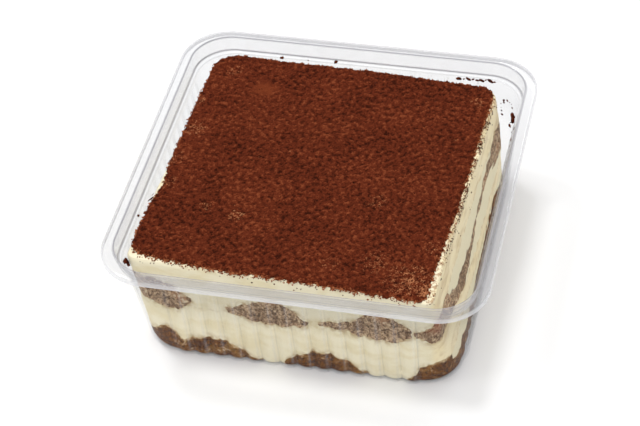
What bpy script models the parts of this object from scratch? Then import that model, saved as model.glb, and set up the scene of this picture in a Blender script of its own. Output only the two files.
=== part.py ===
# A square block of tiramisu in its open clear plastic tub. Metres, +Z up.
# The origin is the centre of the tub's underside, and the front, where the
# sponge fingers show their cut ends, faces -Y.
import math

import bpy
import numpy as np

# Tub: the inner and upper face of one formed sheet
TUB_HEIGHT = 0.0434
SHEET = 0.0006
FLOOR_HALF = 0.0510
FLOOR_RADIUS = 0.0142
TOE_HALF = 0.0525
TOE_RADIUS = 0.0114
TOE_HEIGHT = 0.0025
TOE_TUCK = 0.0005
TOE_TUCK_HEIGHT = 0.0011
WALL_TOP_HALF = 0.0563
WALL_TOP_RADIUS = 0.0126
WALL_TOP_HEIGHT = 0.0349
FADE_HALF = 0.05695
FADE_HEIGHT = 0.0373
LEDGE_HALF = 0.0579
LEDGE_RADIUS = 0.0126
LEDGE_HEIGHT = 0.0382
STEP_HALF = 0.05856
STEP_RADIUS = 0.0130
RIM_HALF = 0.0630
RIM_RADIUS = 0.0164
RIM_FALL = 0.0005
RIM_EDGE = 0.0005
LIP_DROP = 0.0020

# Flutes pressed into the four walls, with smooth corners between them
FLUTES = 14
FLUTE_PITCH = 0.0058
FLUTE_DEPTH = 0.0008
FLUTE_STEPS = 4
FLUTE_SPAN = FLUTES * FLUTE_PITCH / 2
SIDE_SPAN = 0.050
CORNER_STEPS = 8

# Clear space left between neighbouring solids
GAP = 0.0003

# Block of food: height, how far each side stands from the middle as left,
# right, front and back, then the corner radii from the back right round to the
# front right. It fills the tub at the base, is cut nearly plumb on the right
# and the front, and sits a little askew higher up.
FOOD_FLOOR = SHEET + GAP
FOOD_TOP = 0.0371
FOOD_LEVELS = (
    (FOOD_FLOOR, (0.0500, 0.0500, 0.0500, 0.0500), (0.0140, 0.0140, 0.0140, 0.0140)),
    (0.0034, (0.0518, 0.0518, 0.0518, 0.0518), (0.0126, 0.0126, 0.0126, 0.0126)),
    (0.0110, (0.0521, 0.0505, 0.0518, 0.0520), (0.0096, 0.0103, 0.0092, 0.0075)),
    (0.0200, (0.0526, 0.0494, 0.0515, 0.0526), (0.0076, 0.0093, 0.0070, 0.0048)),
    (0.0366, (0.0542, 0.0470, 0.0500, 0.0546), (0.0060, 0.0078, 0.0055, 0.0026)),
    (FOOD_TOP, (0.0538, 0.0464, 0.0495, 0.0542), (0.0056, 0.0072, 0.0050, 0.0022)),
)
PRESSED_LEVELS = 2
SIDE_STEPS = 12
FOOD_MARKS = 0.0355
FOOD_CORNER_STEPS = 5
TOP_RINGS = (0.90, 0.62, 0.30)
ASKEW = math.radians(-2.0)
ASKEW_FROM = 0.0040
ASKEW_OVER = 0.0160

# Unevenness of the sides and the top, as height, then waves of radians per
# metre across, along and up, and phase
SIDE_WAVE = 0.00013
SIDE_RIPPLES = ((95, 60, 210, 0.6), (-70, 88, 180, 2.3))
TOP_WAVE = 0.00018
TOP_RIPPLES = ((98, 0, 0, 0.7), (64, 112, 0, 2.1))

# Sponge fingers, each running from the front to the back of the block:
# centre across, width, underside, top, tilt of the section, wave phase
FINGER_POINTS = 16
FINGER_STATIONS = 6
FINGER_REACH = 0.060
FINGER_WANDER = 0.0004
FINGER_WANDER_RATE = 52
FINGER_ROUGH = 0.0007
FINGER_LUMPS = 3
FINGER_LUMP_RATE = 40
SECTION_POWER = 0.75
UPPER_FINGERS = (
    (-0.0433, 0.0215, 0.0184, 0.0306, 0.06, 0.4),
    (-0.0070, 0.0285, 0.0182, 0.0262, 0.03, 1.9),
    (0.0248, 0.0290, 0.0170, 0.0284, 0.00, 3.1),
    (0.0523, 0.0222, 0.0172, 0.0290, 0.08, 4.6),
)
LOWER_FINGERS = (
    (-0.0330, 0.0400, -0.0040, 0.0062, -0.08, 0.9),
    (0.0105, 0.0282, -0.0050, 0.0098, 0.20, 2.6),
    (0.0482, 0.0225, -0.0050, 0.0112, 0.22, 5.2),
)

# Cocoa dusted over the top, out to a ragged edge
COCOA_INSET = 0.0004
COCOA_THICK = 0.0009
COCOA_RAGGED = 0.0007
COCOA_SEED = 7
COCOA_STEPS = 20
COCOA_MARKS = 0.0415
COCOA_RINGS = (0.95, 0.70, 0.35)

# Colour, roughness and alpha of each material
CLEAR_PLASTIC = ((0.93, 0.95, 0.96), 0.08, 0.25)
CREAM = ((0.90, 0.84, 0.66), 0.55, 1.0)
UPPER_SPONGE = ((0.33, 0.22, 0.13), 0.85, 1.0)
LOWER_SPONGE = ((0.20, 0.11, 0.05), 0.85, 1.0)
COCOA = ((0.16, 0.055, 0.022), 0.95, 1.0)
SHARP_ANGLE = math.radians(38)


def clear_scene():
    for obj in list(bpy.data.objects):
        bpy.data.objects.remove(obj, do_unlink=True)


def collection(name, hidden):
    made = bpy.data.collections.new(name)
    bpy.context.scene.collection.children.link(made)
    made.hide_render = hidden
    return made


def material(name, look):
    colour, roughness, alpha = look
    made = bpy.data.materials.new(name)
    made.use_nodes = True
    shader = made.node_tree.nodes["Principled BSDF"]
    shader.inputs["Base Color"].default_value = (*colour, 1.0)
    shader.inputs["Roughness"].default_value = roughness
    shader.inputs["Alpha"].default_value = alpha
    made.diffuse_color = (*colour, alpha)
    return made


def add_mesh(name, points, faces, group, look):
    mesh = bpy.data.meshes.new(name)
    mesh.from_pydata([tuple(map(float, point)) for point in points], [], faces)
    mesh.materials.append(look)
    mesh.shade_smooth()
    mesh.set_sharp_from_angle(angle=SHARP_ANGLE)
    obj = bpy.data.objects.new(name, mesh)
    group.objects.link(obj)
    return obj


def thicken(obj, thickness, offset):
    sheet = obj.modifiers.new("sheet", "SOLIDIFY")
    sheet.thickness = thickness
    sheet.offset = offset
    sheet.use_even_offset = True


def boolean(obj, operation, other):
    step = obj.modifiers.new(operation.lower() + "_" + other.name, "BOOLEAN")
    step.operation = operation
    step.solver = "EXACT"
    step.object = other


# Closed rings of points, lofted into walls. Each ring goes once round
# anticlockwise from the back right corner and keeps, for every point, how far
# round it lies from 0 to 4, so that rings with different numbers of points can
# be joined. The marks are the places along each side that get a point.
def ring(sides, radii, z, corner_steps, marks=(), bulge=None):
    left, right, front, back = sides
    corners = ((right, back), (-left, back), (-left, -front), (right, -front))
    points, where = [], []
    for index, (cx, cy) in enumerate(corners):
        radius = radii[index]
        middle = np.array((cx - math.copysign(radius, cx), cy - math.copysign(radius, cy)))
        for step in range(corner_steps + 1):
            angle = math.pi / 2 * (index + step / corner_steps)
            x, y = middle + radius * np.array((math.cos(angle), math.sin(angle)))
            points.append((x, y, z))
            where.append(index + 0.5 * step / corner_steps)
        turn = math.pi / 2 * (index + 1)
        outward = np.array((math.cos(turn), math.sin(turn)))
        onward = np.array((-outward[1], outward[0]))
        level = abs(outward @ np.array((cx, cy)))
        for mark in marks:
            out = bulge(mark) if bulge else 0.0
            x, y = (level + out) * outward + mark * onward
            points.append((x, y, z))
            where.append(index + 0.75 + 0.25 * mark / SIDE_SPAN)
    return points, where


def join_rings(first, second, start_first, start_second):
    """Triangles between two rings, each side stepping on where it lags behind."""
    (_, a), (_, b) = first, second
    faces = []
    i = j = 0
    while i < len(a) or j < len(b):
        next_a = a[i + 1] if i + 1 < len(a) else 4.0
        next_b = b[j + 1] if j + 1 < len(b) else 4.0
        here_a = start_first + i % len(a)
        here_b = start_second + j % len(b)
        if j >= len(b) or (i < len(a) and a[i] + next_a <= b[j] + next_b):
            faces.append((here_a, start_first + (i + 1) % len(a), here_b))
            i += 1
        else:
            faces.append((here_a, start_second + (j + 1) % len(b), here_b))
            j += 1
    return faces


def loft(rings, first_cap, last_cap):
    points, starts, faces = [], [], []
    for ring_points, _ in rings:
        starts.append(len(points))
        points.extend(ring_points)
    for k in range(len(rings) - 1):
        faces.extend(join_rings(rings[k], rings[k + 1], starts[k], starts[k + 1]))
    if first_cap:
        faces.append(tuple(reversed(range(len(rings[0][0])))))
    if last_cap:
        faces.append(tuple(range(starts[-1], len(points))))
    return points, faces


# Tub: one sheet formed into floor, fluted wall, stepped seat, flange and lip
def flute_bulge(mark):
    along = ((mark + FLUTE_SPAN) / FLUTE_PITCH) % 1.0
    return FLUTE_DEPTH * (1.0 - (2.0 * along - 1.0) ** 2)


def tub_ring(half, radius, z, kind="plain", depth=1.0):
    steps = {"plain": 0, "marked": FLUTES, "fluted": FLUTES * FLUTE_STEPS}[kind]
    span = min(FLUTE_SPAN, half - radius)
    marks = [span * (2 * k / steps - 1) for k in range(steps + 1)] if steps else ()
    bulge = (lambda mark: depth * flute_bulge(mark)) if kind == "fluted" else None
    return ring((half,) * 4, (radius,) * 4, z, CORNER_STEPS, marks, bulge)


def build_tub(group):
    rim_top = TUB_HEIGHT - RIM_FALL
    rings = [
        tub_ring(RIM_HALF, RIM_RADIUS, rim_top - LIP_DROP),
        tub_ring(RIM_HALF, RIM_RADIUS, rim_top - RIM_EDGE),
        tub_ring(RIM_HALF - RIM_EDGE, RIM_RADIUS - RIM_EDGE, rim_top),
        tub_ring(STEP_HALF + RIM_EDGE, STEP_RADIUS + RIM_EDGE, TUB_HEIGHT),
        tub_ring(STEP_HALF, STEP_RADIUS, TUB_HEIGHT - RIM_EDGE),
        tub_ring(LEDGE_HALF, LEDGE_RADIUS, LEDGE_HEIGHT),
        tub_ring(FADE_HALF, WALL_TOP_RADIUS, FADE_HEIGHT, "marked"),
        tub_ring(WALL_TOP_HALF, WALL_TOP_RADIUS, WALL_TOP_HEIGHT, "fluted"),
        tub_ring(TOE_HALF, TOE_RADIUS, TOE_HEIGHT, "fluted"),
        tub_ring(TOE_HALF - TOE_TUCK, TOE_RADIUS - TOE_TUCK, TOE_TUCK_HEIGHT, "fluted", 0.6),
        tub_ring(FLOOR_HALF, FLOOR_RADIUS, SHEET, "marked"),
    ]
    points, faces = loft(rings, False, True)
    tub = add_mesh("tub", points, faces, group, material("clear_plastic", CLEAR_PLASTIC))
    thicken(tub, SHEET, -1)


# Block of food, later parted into cream and sponge
def ripple(waves, x, y, z=0.0):
    return sum(math.sin(a * x + b * y + c * z + phase) for a, b, c, phase in waves)


def food_top(x, y):
    return FOOD_TOP + TOP_WAVE * ripple(TOP_RIPPLES, x, y)


def turned(x, y, angle):
    """The point turned about the middle of the tub."""
    return x * math.cos(angle) - y * math.sin(angle), x * math.sin(angle) + y * math.cos(angle)


def askew_at(z):
    share = min(max((z - ASKEW_FROM) / ASKEW_OVER, 0.0), 1.0)
    return ASKEW * share * share * (3 - 2 * share)


def side_marks(steps, reach):
    return [reach * (2 * (k + 0.5) / steps - 1) for k in range(steps)]


def closing_rings(outline, shares, height):
    """Rings that close in on the middle, each point lifted to the height there."""
    points, where = outline
    middle_x, middle_y = np.mean(np.array(points)[:, :2], axis=0)
    made = []
    for share in shares:
        inner = []
        for x, y, _ in points:
            px = middle_x + share * (x - middle_x)
            py = middle_y + share * (y - middle_y)
            inner.append((px, py, height(px, py)))
        made.append((inner, where))
    return made


def food_block(name, group, look):
    marks = side_marks(SIDE_STEPS, FOOD_MARKS)
    rings = []
    for level, (z, sides, radii) in enumerate(FOOD_LEVELS):
        points, where = ring(sides, radii, z, FOOD_CORNER_STEPS, marks)
        if level >= PRESSED_LEVELS:
            grown = [1 + SIDE_WAVE * ripple(SIDE_RIPPLES, x, y, z) / math.hypot(x, y) for x, y, _ in points]
            points = [(*turned(x * g, y * g, askew_at(z)), z) for (x, y, _), g in zip(points, grown)]
        rings.append((points, where))
    rim, where = rings[-1]
    rings[-1] = ([(x, y, food_top(x, y)) for x, y, _ in rim], where)
    rings += closing_rings(rings[-1], TOP_RINGS, food_top)
    points, faces = loft(rings, True, True)
    return add_mesh(name, points, faces, group, look)


# Sponge fingers: a rounded section carried along the block
def finger_section(finger, y, grow):
    centre, width, low, high, tilt, phase = finger
    middle = (low + high) / 2 + FINGER_WANDER * math.sin(FINGER_WANDER_RATE * y + phase)
    centre = centre + FINGER_WANDER * math.cos(FINGER_WANDER_RATE * y + phase)
    outline = []
    for k in range(FINGER_POINTS):
        angle = 2 * math.pi * k / FINGER_POINTS
        c, s = math.cos(angle), math.sin(angle)
        rough = FINGER_ROUGH * math.sin(FINGER_LUMPS * angle + phase + FINGER_LUMP_RATE * y)
        x = (width / 2 + rough) * math.copysign(abs(c) ** SECTION_POWER, c)
        z = ((high - low) / 2 + rough) * math.copysign(abs(s) ** SECTION_POWER, s)
        outline.append((centre + x, middle + z + tilt * x))
    outline = np.array(outline)
    along = np.roll(outline, -1, axis=0) - np.roll(outline, 1, axis=0)
    outward = np.stack([along[:, 1], -along[:, 0]], axis=1)
    outward /= np.linalg.norm(outward, axis=1)[:, None]
    return outline + grow * outward


def finger_bar(name, finger, grow, group, look):
    turn = askew_at(finger[2])
    where = [4.0 * k / FINGER_POINTS for k in range(FINGER_POINTS)]
    rings = []
    for y in np.linspace(FINGER_REACH, -FINGER_REACH, FINGER_STATIONS):
        section = finger_section(finger, y, grow)
        rings.append(([(*turned(x, y, turn), z) for x, z in section], where))
    points, faces = loft(rings, True, True)
    return add_mesh(name, points, faces, group, look)


def build_food(group, cutters):
    cream_look = material("mascarpone_cream", CREAM)
    upper_look = material("soaked_sponge", UPPER_SPONGE)
    lower_look = material("soaked_sponge_dark", LOWER_SPONGE)
    block = food_block("food_block", cutters, cream_look)
    cream = food_block("cream", group, cream_look)
    rows = (("upper_sponge", UPPER_FINGERS, upper_look), ("lower_sponge", LOWER_FINGERS, lower_look))
    for row_name, fingers, look in rows:
        for number, finger in enumerate(fingers, 1):
            name = f"{row_name}_{number}"
            sponge = finger_bar(name, finger, 0.0, group, look)
            boolean(sponge, "INTERSECT", block)
            tunnel = finger_bar("tunnel_" + name, finger, GAP, cutters, look)
            boolean(cream, "DIFFERENCE", tunnel)


# Cocoa: one even layer that ends in a ragged edge
def build_cocoa(group):
    _, sides, radii = FOOD_LEVELS[-1]
    sides = [side - COCOA_INSET for side in sides]
    base, where = ring(sides, radii, 0.0, FOOD_CORNER_STEPS, side_marks(COCOA_STEPS, COCOA_MARKS))
    ragged = np.random.default_rng(COCOA_SEED).random(len(base))
    edge = []
    for (x, y, _), drawn_in in zip(base, ragged):
        kept = 1 - COCOA_RAGGED * drawn_in / math.hypot(x, y)
        edge.append((*turned(x * kept, y * kept, ASKEW), 0.0))

    def underside(x, y):
        return food_top(x, y) + GAP

    rings = closing_rings((edge, where), (1.0, *COCOA_RINGS), underside)
    points, faces = loft(rings, False, True)
    cocoa = add_mesh("cocoa", points, faces, group, material("cocoa_powder", COCOA))
    thicken(cocoa, COCOA_THICK, 1)


clear_scene()
parts = collection("tiramisu_in_clear_tub", False)
helpers = collection("cutters", True)
build_tub(parts)
build_food(parts, helpers)
build_cocoa(parts)
for helper in helpers.objects:
    helper.hide_render = True
    helper.display_type = "WIRE"
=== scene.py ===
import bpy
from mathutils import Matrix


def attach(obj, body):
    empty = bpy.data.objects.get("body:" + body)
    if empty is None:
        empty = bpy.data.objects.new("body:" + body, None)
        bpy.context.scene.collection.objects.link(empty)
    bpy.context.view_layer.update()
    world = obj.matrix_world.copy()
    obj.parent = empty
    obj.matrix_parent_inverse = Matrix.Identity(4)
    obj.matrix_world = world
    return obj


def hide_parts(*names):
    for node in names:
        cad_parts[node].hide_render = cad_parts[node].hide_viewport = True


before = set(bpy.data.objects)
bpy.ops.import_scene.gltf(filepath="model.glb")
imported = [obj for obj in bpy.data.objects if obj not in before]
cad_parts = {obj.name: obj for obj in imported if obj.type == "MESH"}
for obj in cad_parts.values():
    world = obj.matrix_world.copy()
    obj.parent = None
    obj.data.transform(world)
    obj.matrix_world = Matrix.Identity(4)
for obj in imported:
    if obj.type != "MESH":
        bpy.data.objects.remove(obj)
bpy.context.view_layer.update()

import math

import bpy
import numpy as np
from mathutils import Matrix, Vector, noise
from mathutils.bvhtree import BVHTree

scene = bpy.context.scene

# Camera
# It looks down into the tub from the front and a little from the right, and is
# held slightly tilted, as in the photograph.
CAMERA_AIM = Vector((0.00349, -0.02375, 0.0434))
CAMERA_DISTANCE = 0.66495
CAMERA_AZIMUTH = math.radians(16.32)
CAMERA_ELEVATION = math.radians(43.88)
CAMERA_ROLL = math.radians(-4.81)
CAMERA_LENS = 116.33


def from_angles(azimuth, elevation):
    """Direction from the object to a viewer or a lamp. Azimuth 0 is in front, 90 on the right."""
    flat = math.cos(elevation)
    return Vector((math.sin(azimuth) * flat, -math.cos(azimuth) * flat, math.sin(elevation)))


back = from_angles(CAMERA_AZIMUTH, CAMERA_ELEVATION)
level = Vector((math.cos(CAMERA_AZIMUTH), math.sin(CAMERA_AZIMUTH), 0))
upright = back.cross(level)
across = level * math.cos(CAMERA_ROLL) + upright * math.sin(CAMERA_ROLL)
above = upright * math.cos(CAMERA_ROLL) - level * math.sin(CAMERA_ROLL)
camera = bpy.data.objects.new("camera", bpy.data.cameras.new("camera"))
camera.data.lens = CAMERA_LENS
camera.data.clip_start = 0.01
camera.matrix_world = (
    Matrix.Translation(CAMERA_AIM + back * CAMERA_DISTANCE)
    @ Matrix((across, above, back)).transposed().to_4x4()
)
scene.collection.objects.link(camera)
scene.camera = camera
scene.view_settings.view_transform = "Standard"
scene.cycles.use_denoising = True
scene.cycles.transparent_max_bounces = 24

# Table and light
# A plain white table in an evenly lit white room, a soft light from behind on
# the left, a softer one in front, and two narrow lamps that the plastic mirrors.
FLOOR_HALF = 2.0
FLOOR_CLOUD = 0.15
FLOOR_WHITE = (0.87, 0.87, 0.87, 1)
FLOOR_GREY = (0.85, 0.85, 0.855, 1)
ROOM_WHITE = (1.0, 1.0, 1.0, 1)
ROOM_STRENGTH = 0.74
BROAD_LIGHTS = (
    # name, azimuth, elevation, angle across, strength
    ("soft_key", -116, 60, 12, 1.27),
    ("front_fill", 8, 52, 50, 0.79),
)
STRIPS = (
    # name, azimuth, elevation, distance, width, height, power in watts
    ("back_strip", 165, 38, 0.90, 0.50, 0.06, 0.9),
    ("side_strip", -60, 40, 0.90, 0.06, 0.50, 0.7),
)


class Wire:
    """A socket in a material's node tree, which sums and products can be written with."""

    def __init__(self, tree, socket=None):
        self.tree = tree
        self.socket = socket

    def node(self, kind, settings=(), sockets=(), output=0):
        made = self.tree.nodes.new(kind)
        for name, value in dict(settings).items():
            setattr(made, name, value)
        for name, value in dict(sockets).items():
            if isinstance(value, Wire):
                self.tree.links.new(value.socket, made.inputs[name])
            else:
                made.inputs[name].default_value = value
        return Wire(self.tree, made.outputs[output]) if made.outputs else None

    def reckon(self, operation, *terms):
        return self.node("ShaderNodeMath", {"operation": operation}, dict(enumerate(terms)))

    def __add__(self, other):
        return self.reckon("ADD", self, other)

    def __sub__(self, other):
        return self.reckon("SUBTRACT", self, other)

    def __rsub__(self, other):
        return self.reckon("SUBTRACT", other, self)

    def __mul__(self, other):
        return self.reckon("MULTIPLY", self, other)

    def __pow__(self, other):
        return self.reckon("POWER", self, other)

    __radd__ = __add__
    __rmul__ = __mul__

    def rising(self, low, high):
        """0 below low, 1 above high, and smooth between them."""
        sockets = {"Value": self, "From Min": low, "From Max": high}
        return self.node("ShaderNodeMapRange", {"interpolation_type": "SMOOTHSTEP"}, sockets)

    def blend(self, first, second):
        """The first colour where this is 0 and the second where it is 1."""
        settings = {"data_type": "RGBA", "clamp_factor": True}
        return self.node("ShaderNodeMix", settings, {0: self, 6: first, 7: second}, 2)

    def grain(self, size, detail=2.0, rough=0.5):
        sockets = {"Vector": self, "Scale": 1 / size, "Detail": detail, "Roughness": rough}
        return self.node("ShaderNodeTexNoise", {}, sockets)

    def stretched(self, scale):
        return self.node("ShaderNodeMapping", {}, {"Vector": self, "Scale": scale})

    def noted(self, name):
        """The value that the mesh carries under that name."""
        return self.node("ShaderNodeAttribute", {"attribute_name": name}, {}, 2)


def start_look(name):
    """A new empty material, with the place on the piece as a wire to begin from."""
    look = bpy.data.materials.new(name)
    look.use_nodes = True
    look.node_tree.nodes.clear()
    return look, Wire(look.node_tree).node("ShaderNodeTexCoord", {}, {}, 3)


def end_look(surface):
    surface.node("ShaderNodeOutputMaterial", {}, {"Surface": surface})


def end_matt_look(place, colour, rough, gloss, *bump):
    """Ends it as a solid surface. The bump is its height, strength and distance."""
    sockets = {"Base Color": colour, "Roughness": rough, "Specular IOR Level": gloss}
    if bump:
        bump = dict(zip(("Height", "Strength", "Distance"), bump))
        sockets["Normal"] = place.node("ShaderNodeBump", {}, bump)
    end_look(place.node("ShaderNodeBsdfPrincipled", {}, sockets))


floor_mesh = bpy.data.meshes.new("table")
corners = [(x * FLOOR_HALF, y * FLOOR_HALF, 0) for x, y in ((-1, -1), (1, -1), (1, 1), (-1, 1))]
floor_mesh.from_pydata(corners, [], [(0, 1, 2, 3)])
floor = bpy.data.objects.new("table", floor_mesh)
scene.collection.objects.link(floor)
floor_look, place = start_look("table_white")
end_matt_look(place, place.grain(FLOOR_CLOUD).blend(FLOOR_WHITE, FLOOR_GREY), 0.9, 0.1)
floor_mesh.materials.append(floor_look)

scene.world = bpy.data.worlds.new("white_room")
scene.world.use_nodes = True
room = scene.world.node_tree.nodes["Background"]
room.inputs["Color"].default_value = ROOM_WHITE
room.inputs["Strength"].default_value = ROOM_STRENGTH


def hang(lamp, azimuth, elevation, distance=0.0):
    """Puts the lamp up there, turned to the middle of the table."""
    toward = from_angles(math.radians(azimuth), math.radians(elevation))
    stand = bpy.data.objects.new(lamp.name, lamp)
    stand.location = toward * distance
    stand.rotation_euler = toward.to_track_quat("Z", "Y").to_euler()
    scene.collection.objects.link(stand)


for name, azimuth, elevation, angle, strength in BROAD_LIGHTS:
    broad = bpy.data.lights.new(name, "SUN")
    broad.energy = strength
    broad.angle = math.radians(angle)
    hang(broad, azimuth, elevation)
for name, azimuth, elevation, distance, width, height, power in STRIPS:
    lamp = bpy.data.lights.new(name, "AREA")
    lamp.shape = "RECTANGLE"
    lamp.size = width
    lamp.size_y = height
    lamp.energy = power
    hang(lamp, azimuth, elevation, distance)

# Clear tub
# One thin sheet of clear plastic, formed over a mould into a floor, fluted
# walls, a step that a lid would sit on, a flat flange and a turned-down lip.
SHEET = 0.0006
TUB_CORNER_STEPS = 16
FLUTES = 14
FLUTE_FACETS = 10
FLUTE_DEPTH = 0.0012
FLUTE_SPAN = 0.0406
# where across each flute the painted highlight streak lies, and how wide it is
HIGHLIGHT_AT = 0.80
HIGHLIGHT_HALF = 0.11
LEAST_STRAIGHT = 0.0003
BEND_STEPS = 4
BEND_SHARE = 0.45
SEAM_GAIN = 3
SHEET_CREASE = 50
FOOD_CREASE = 40
NO_CREASE = 180
# half width, height, corner radius, share of the flutes' depth, how far the
# bend reaches to either side, how strongly the bend is painted with a dark shade line
TUB_PROFILE = (
    (0.06300, 0.0409, 0.0164, 0.0, 0.0, 0.1),
    (0.06300, 0.0429, 0.0164, 0.0, 0.0009, 0.0),
    (0.05886, 0.0434, 0.0133, 0.0, 0.0009, 1.0),
    (0.05795, 0.0382, 0.0126, 0.0, 0.0004, 0.90),
    (0.05695, 0.0373, 0.0126, 0.0, 0.0005, 0.2),
    (0.05645, 0.0356, 0.0126, 0.35, 0.0008, 0.0),
    (0.05630, 0.0346, 0.0126, 0.5, 0.0006, 0.0),
    (0.05440, 0.0186, 0.0120, 1.0, 0.0010, 0.0),
    (0.05255, 0.0026, 0.0114, 1.0, 0.0010, 0.0),
    (0.05210, 0.0010, 0.0111, 1.0, 0.0005, 0.0),
    (0.05080, 0.0006, 0.0142, 0.0, 0.0004, 0.3),
    (0.04600, 0.0006, 0.0100, 0.0, 0.0, 0.0),
)
UPPER_WALL_FROM = 0.0180
UPPER_WALL_TO = 0.0330
FLANGE_HAZE_FROM = 0.0345
FLANGE_HAZE_TO = 0.0385
LIP_FROM = 0.0628
HAZE_CLOUD = 0.006
HAZE_ROUGH = 0.35
GLOSS_ROUGH = 0.06
PLASTIC_CLEAR = (0.966, 0.968, 0.972, 1)
PLASTIC_DEEP = (0.66, 0.665, 0.68, 1)
PLASTIC_HAZE = (0.71, 0.70, 0.73, 1)
PLASTIC_BEND_SHADE = (0.19, 0.19, 0.21, 1)
PLASTIC_LIP_HIGHLIGHT = (0.92, 0.92, 0.94, 1)


def rounded(profile, steps):
    """The profile's rows with each bend between two rows drawn as an arc of that many steps."""
    rows = [np.array(row, float) for row in profile]
    made = [np.append(rows[0][:4], rows[0][5])]
    for before, here, after in zip(rows, rows[1:], rows[2:]):
        ends = []
        for other in (before, after):
            length = np.linalg.norm(other[:2] - here[:2])
            ends.append(here + (other - here) * min(here[4] / length, BEND_SHARE))
        for step in range(steps + 1):
            t = step / steps
            point = (1 - t) ** 2 * ends[0] + 2 * t * (1 - t) * here + t ** 2 * ends[1]
            # painted shade: the dark line on a bend is strongest at its middle
            bend_shade = here[5] * (1 - abs(2 * t - 1)) ** 2
            made.append(np.append(point[:4], bend_shade))
    made.append(np.append(rows[-1][:4], rows[-1][5]))
    return made


def tub_ring(half, z, radius, depth):
    """Points once round the tub's inner face, and how strongly each takes the painted
    shade line where two flutes meet and the painted highlight streak beside it."""
    middle = half - radius
    span = min(FLUTE_SPAN, middle - LEAST_STRAIGHT)
    points, seam_shades, flute_highlights = [], [], []
    for quarter in range(4):
        turn = Matrix.Rotation(quarter * math.pi / 2, 3, "Z")
        for step in range(TUB_CORNER_STEPS + 1):
            angle = math.pi / 2 * step / TUB_CORNER_STEPS
            corner = (middle + radius * math.cos(angle), middle + radius * math.sin(angle), z)
            points.append(turn @ Vector(corner))
            seam_shades.append(0.0)
            flute_highlights.append(0.0)
        for mark in range(FLUTES * FLUTE_FACETS + 1):
            along = (mark % FLUTE_FACETS) / FLUTE_FACETS
            bulge = FLUTE_DEPTH * depth * (1 - (2 * along - 1) ** 2)
            x = span * (1 - 2 * mark / (FLUTES * FLUTE_FACETS))
            points.append(turn @ Vector((x, half + bulge, z)))
            # painted shade where two flutes meet, and a painted highlight streak beside it
            clear_of_top = min(1.0, SEAM_GAIN * depth)
            seam_shades.append(clear_of_top if along == 0 else 0.0)
            flute_highlights.append(clear_of_top * max(0.0, 1 - abs(along - HIGHLIGHT_AT) / HIGHLIGHT_HALF))
    return np.array(points), seam_shades, flute_highlights


def loft(rings, first_cap, last_cap):
    """Points and faces of a wall through rings that hold the same number of points."""
    count = len(rings[0])
    faces = []
    for start in range(0, count * (len(rings) - 1), count):
        for i in range(count):
            j = (i + 1) % count
            faces.append((start + i, start + j, start + count + j, start + count + i))
    if first_cap:
        faces.append(tuple(reversed(range(count))))
    if last_cap:
        faces.append(tuple(range(count * (len(rings) - 1), count * len(rings))))
    return np.concatenate(rings), faces


def new_mesh(name, points, faces):
    mesh = bpy.data.meshes.new(name)
    mesh.from_pydata([tuple(map(float, point)) for point in points], [], faces)
    return mesh


def note(mesh, name, values):
    """Writes one value for each point on the mesh, for its material to read."""
    noted = mesh.attributes.get(name) or mesh.attributes.new(name, "FLOAT", "POINT")
    noted.data.foreach_set("value", np.array(values, np.float32))


def plain_mesh(obj):
    """What the object's modifiers make of it, as a mesh of its own. The object goes."""
    bpy.context.view_layer.update()
    made = bpy.data.meshes.new_from_object(obj.evaluated_get(bpy.context.evaluated_depsgraph_get()))
    bpy.data.objects.remove(obj)
    return made


def lay_down(name, mesh):
    obj = bpy.data.objects.new(name, mesh)
    scene.collection.objects.link(obj)
    return obj


def add_piece(name, mesh, look, slot, sharp_angle, *nodes):
    """A finished piece, which rides on the root and stands for those nodes."""
    mesh.materials.clear()
    mesh.materials.append(look)
    mesh.shade_smooth()
    mesh.set_sharp_from_angle(angle=math.radians(sharp_angle))
    piece = lay_down(name, mesh)
    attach(piece, "root")
    if nodes:
        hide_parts(*nodes)


tub_rings, tub_seam_shades, tub_flute_highlights, tub_bend_shades, tub_lip_highlights = [], [], [], [], []
for half, z, radius, depth, bend_shade in rounded(TUB_PROFILE, BEND_STEPS):
    ring, seam_shades, flute_highlights = tub_ring(half, z, radius, depth)
    tub_rings.append(ring)
    tub_seam_shades.extend(seam_shades)
    tub_flute_highlights.extend(flute_highlights)
    tub_bend_shades.extend([bend_shade] * len(ring))
    # the lip is marked for a painted white highlight
    tub_lip_highlights.extend([float(half > LIP_FROM)] * len(ring))
sheet_mesh = new_mesh("tub_sheet", *loft(tub_rings, False, True))
note(sheet_mesh, "seam_shade", tub_seam_shades)
note(sheet_mesh, "flute_highlight", tub_flute_highlights)
note(sheet_mesh, "bend_shade", tub_bend_shades)
note(sheet_mesh, "lip_highlight", tub_lip_highlights)
sheet = lay_down("tub_sheet", sheet_mesh)
thickness = sheet.modifiers.new("sheet", "SOLIDIFY")
thickness.thickness = SHEET
thickness.offset = -1
thickness.use_even_offset = True
thickness.use_quality_normals = True

plastic, place = start_look("clear_plastic")
facing = place.node("ShaderNodeLayerWeight", {}, {"Blend": 0.5}, 1)
height = place.node("ShaderNodeSeparateXYZ", {}, {"Vector": place}, 2)
bend_shade = place.noted("bend_shade")
lip_highlight = place.noted("lip_highlight")
seam_shade = place.noted("seam_shade") ** 4
flute_highlight = place.noted("flute_highlight")
cloud = place.grain(HAZE_CLOUD, 3.0)
clear = place.node("ShaderNodeBsdfTransparent", {}, {"Color": PLASTIC_CLEAR})
deep = place.node("ShaderNodeBsdfTransparent", {}, {"Color": PLASTIC_DEEP})
raised = height.rising(FLANGE_HAZE_FROM, FLANGE_HAZE_TO)
upper = height.rising(UPPER_WALL_FROM, UPPER_WALL_TO)
edge_on = facing ** 3 * (raised * 0.25 + upper * 0.15 + 0.08)
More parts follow.
